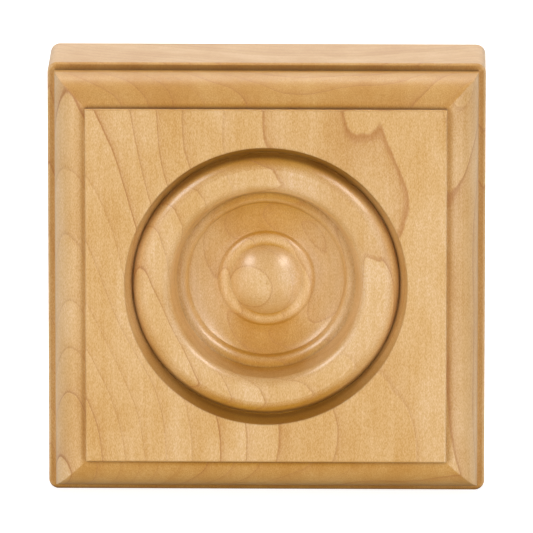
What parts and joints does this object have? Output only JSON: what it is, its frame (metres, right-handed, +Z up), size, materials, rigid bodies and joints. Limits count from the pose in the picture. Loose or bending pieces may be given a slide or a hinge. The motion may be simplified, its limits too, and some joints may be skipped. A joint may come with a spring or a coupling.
{
  "type": "corner rosette block",
  "caption": "Square hardwood trim block with a mitred ovolo edge and a turned bull's-eye on its face, set where door or window casings meet at a corner.",
  "frame": {"origin": "centre of the flat back face, which goes against the wall", "axes": "+Z up along the grain, +Y into the wall, so the turned face looks along -Y, and +X to the right"},
  "size_m": [0.0888, 0.0286, 0.0888],
  "materials": {
    "maple": "clear satin varnish over sanded maple, upright grain"
  },
  "bodies": {
    "root": {"rosette_block": "maple"}
  },
  "joints": []
}
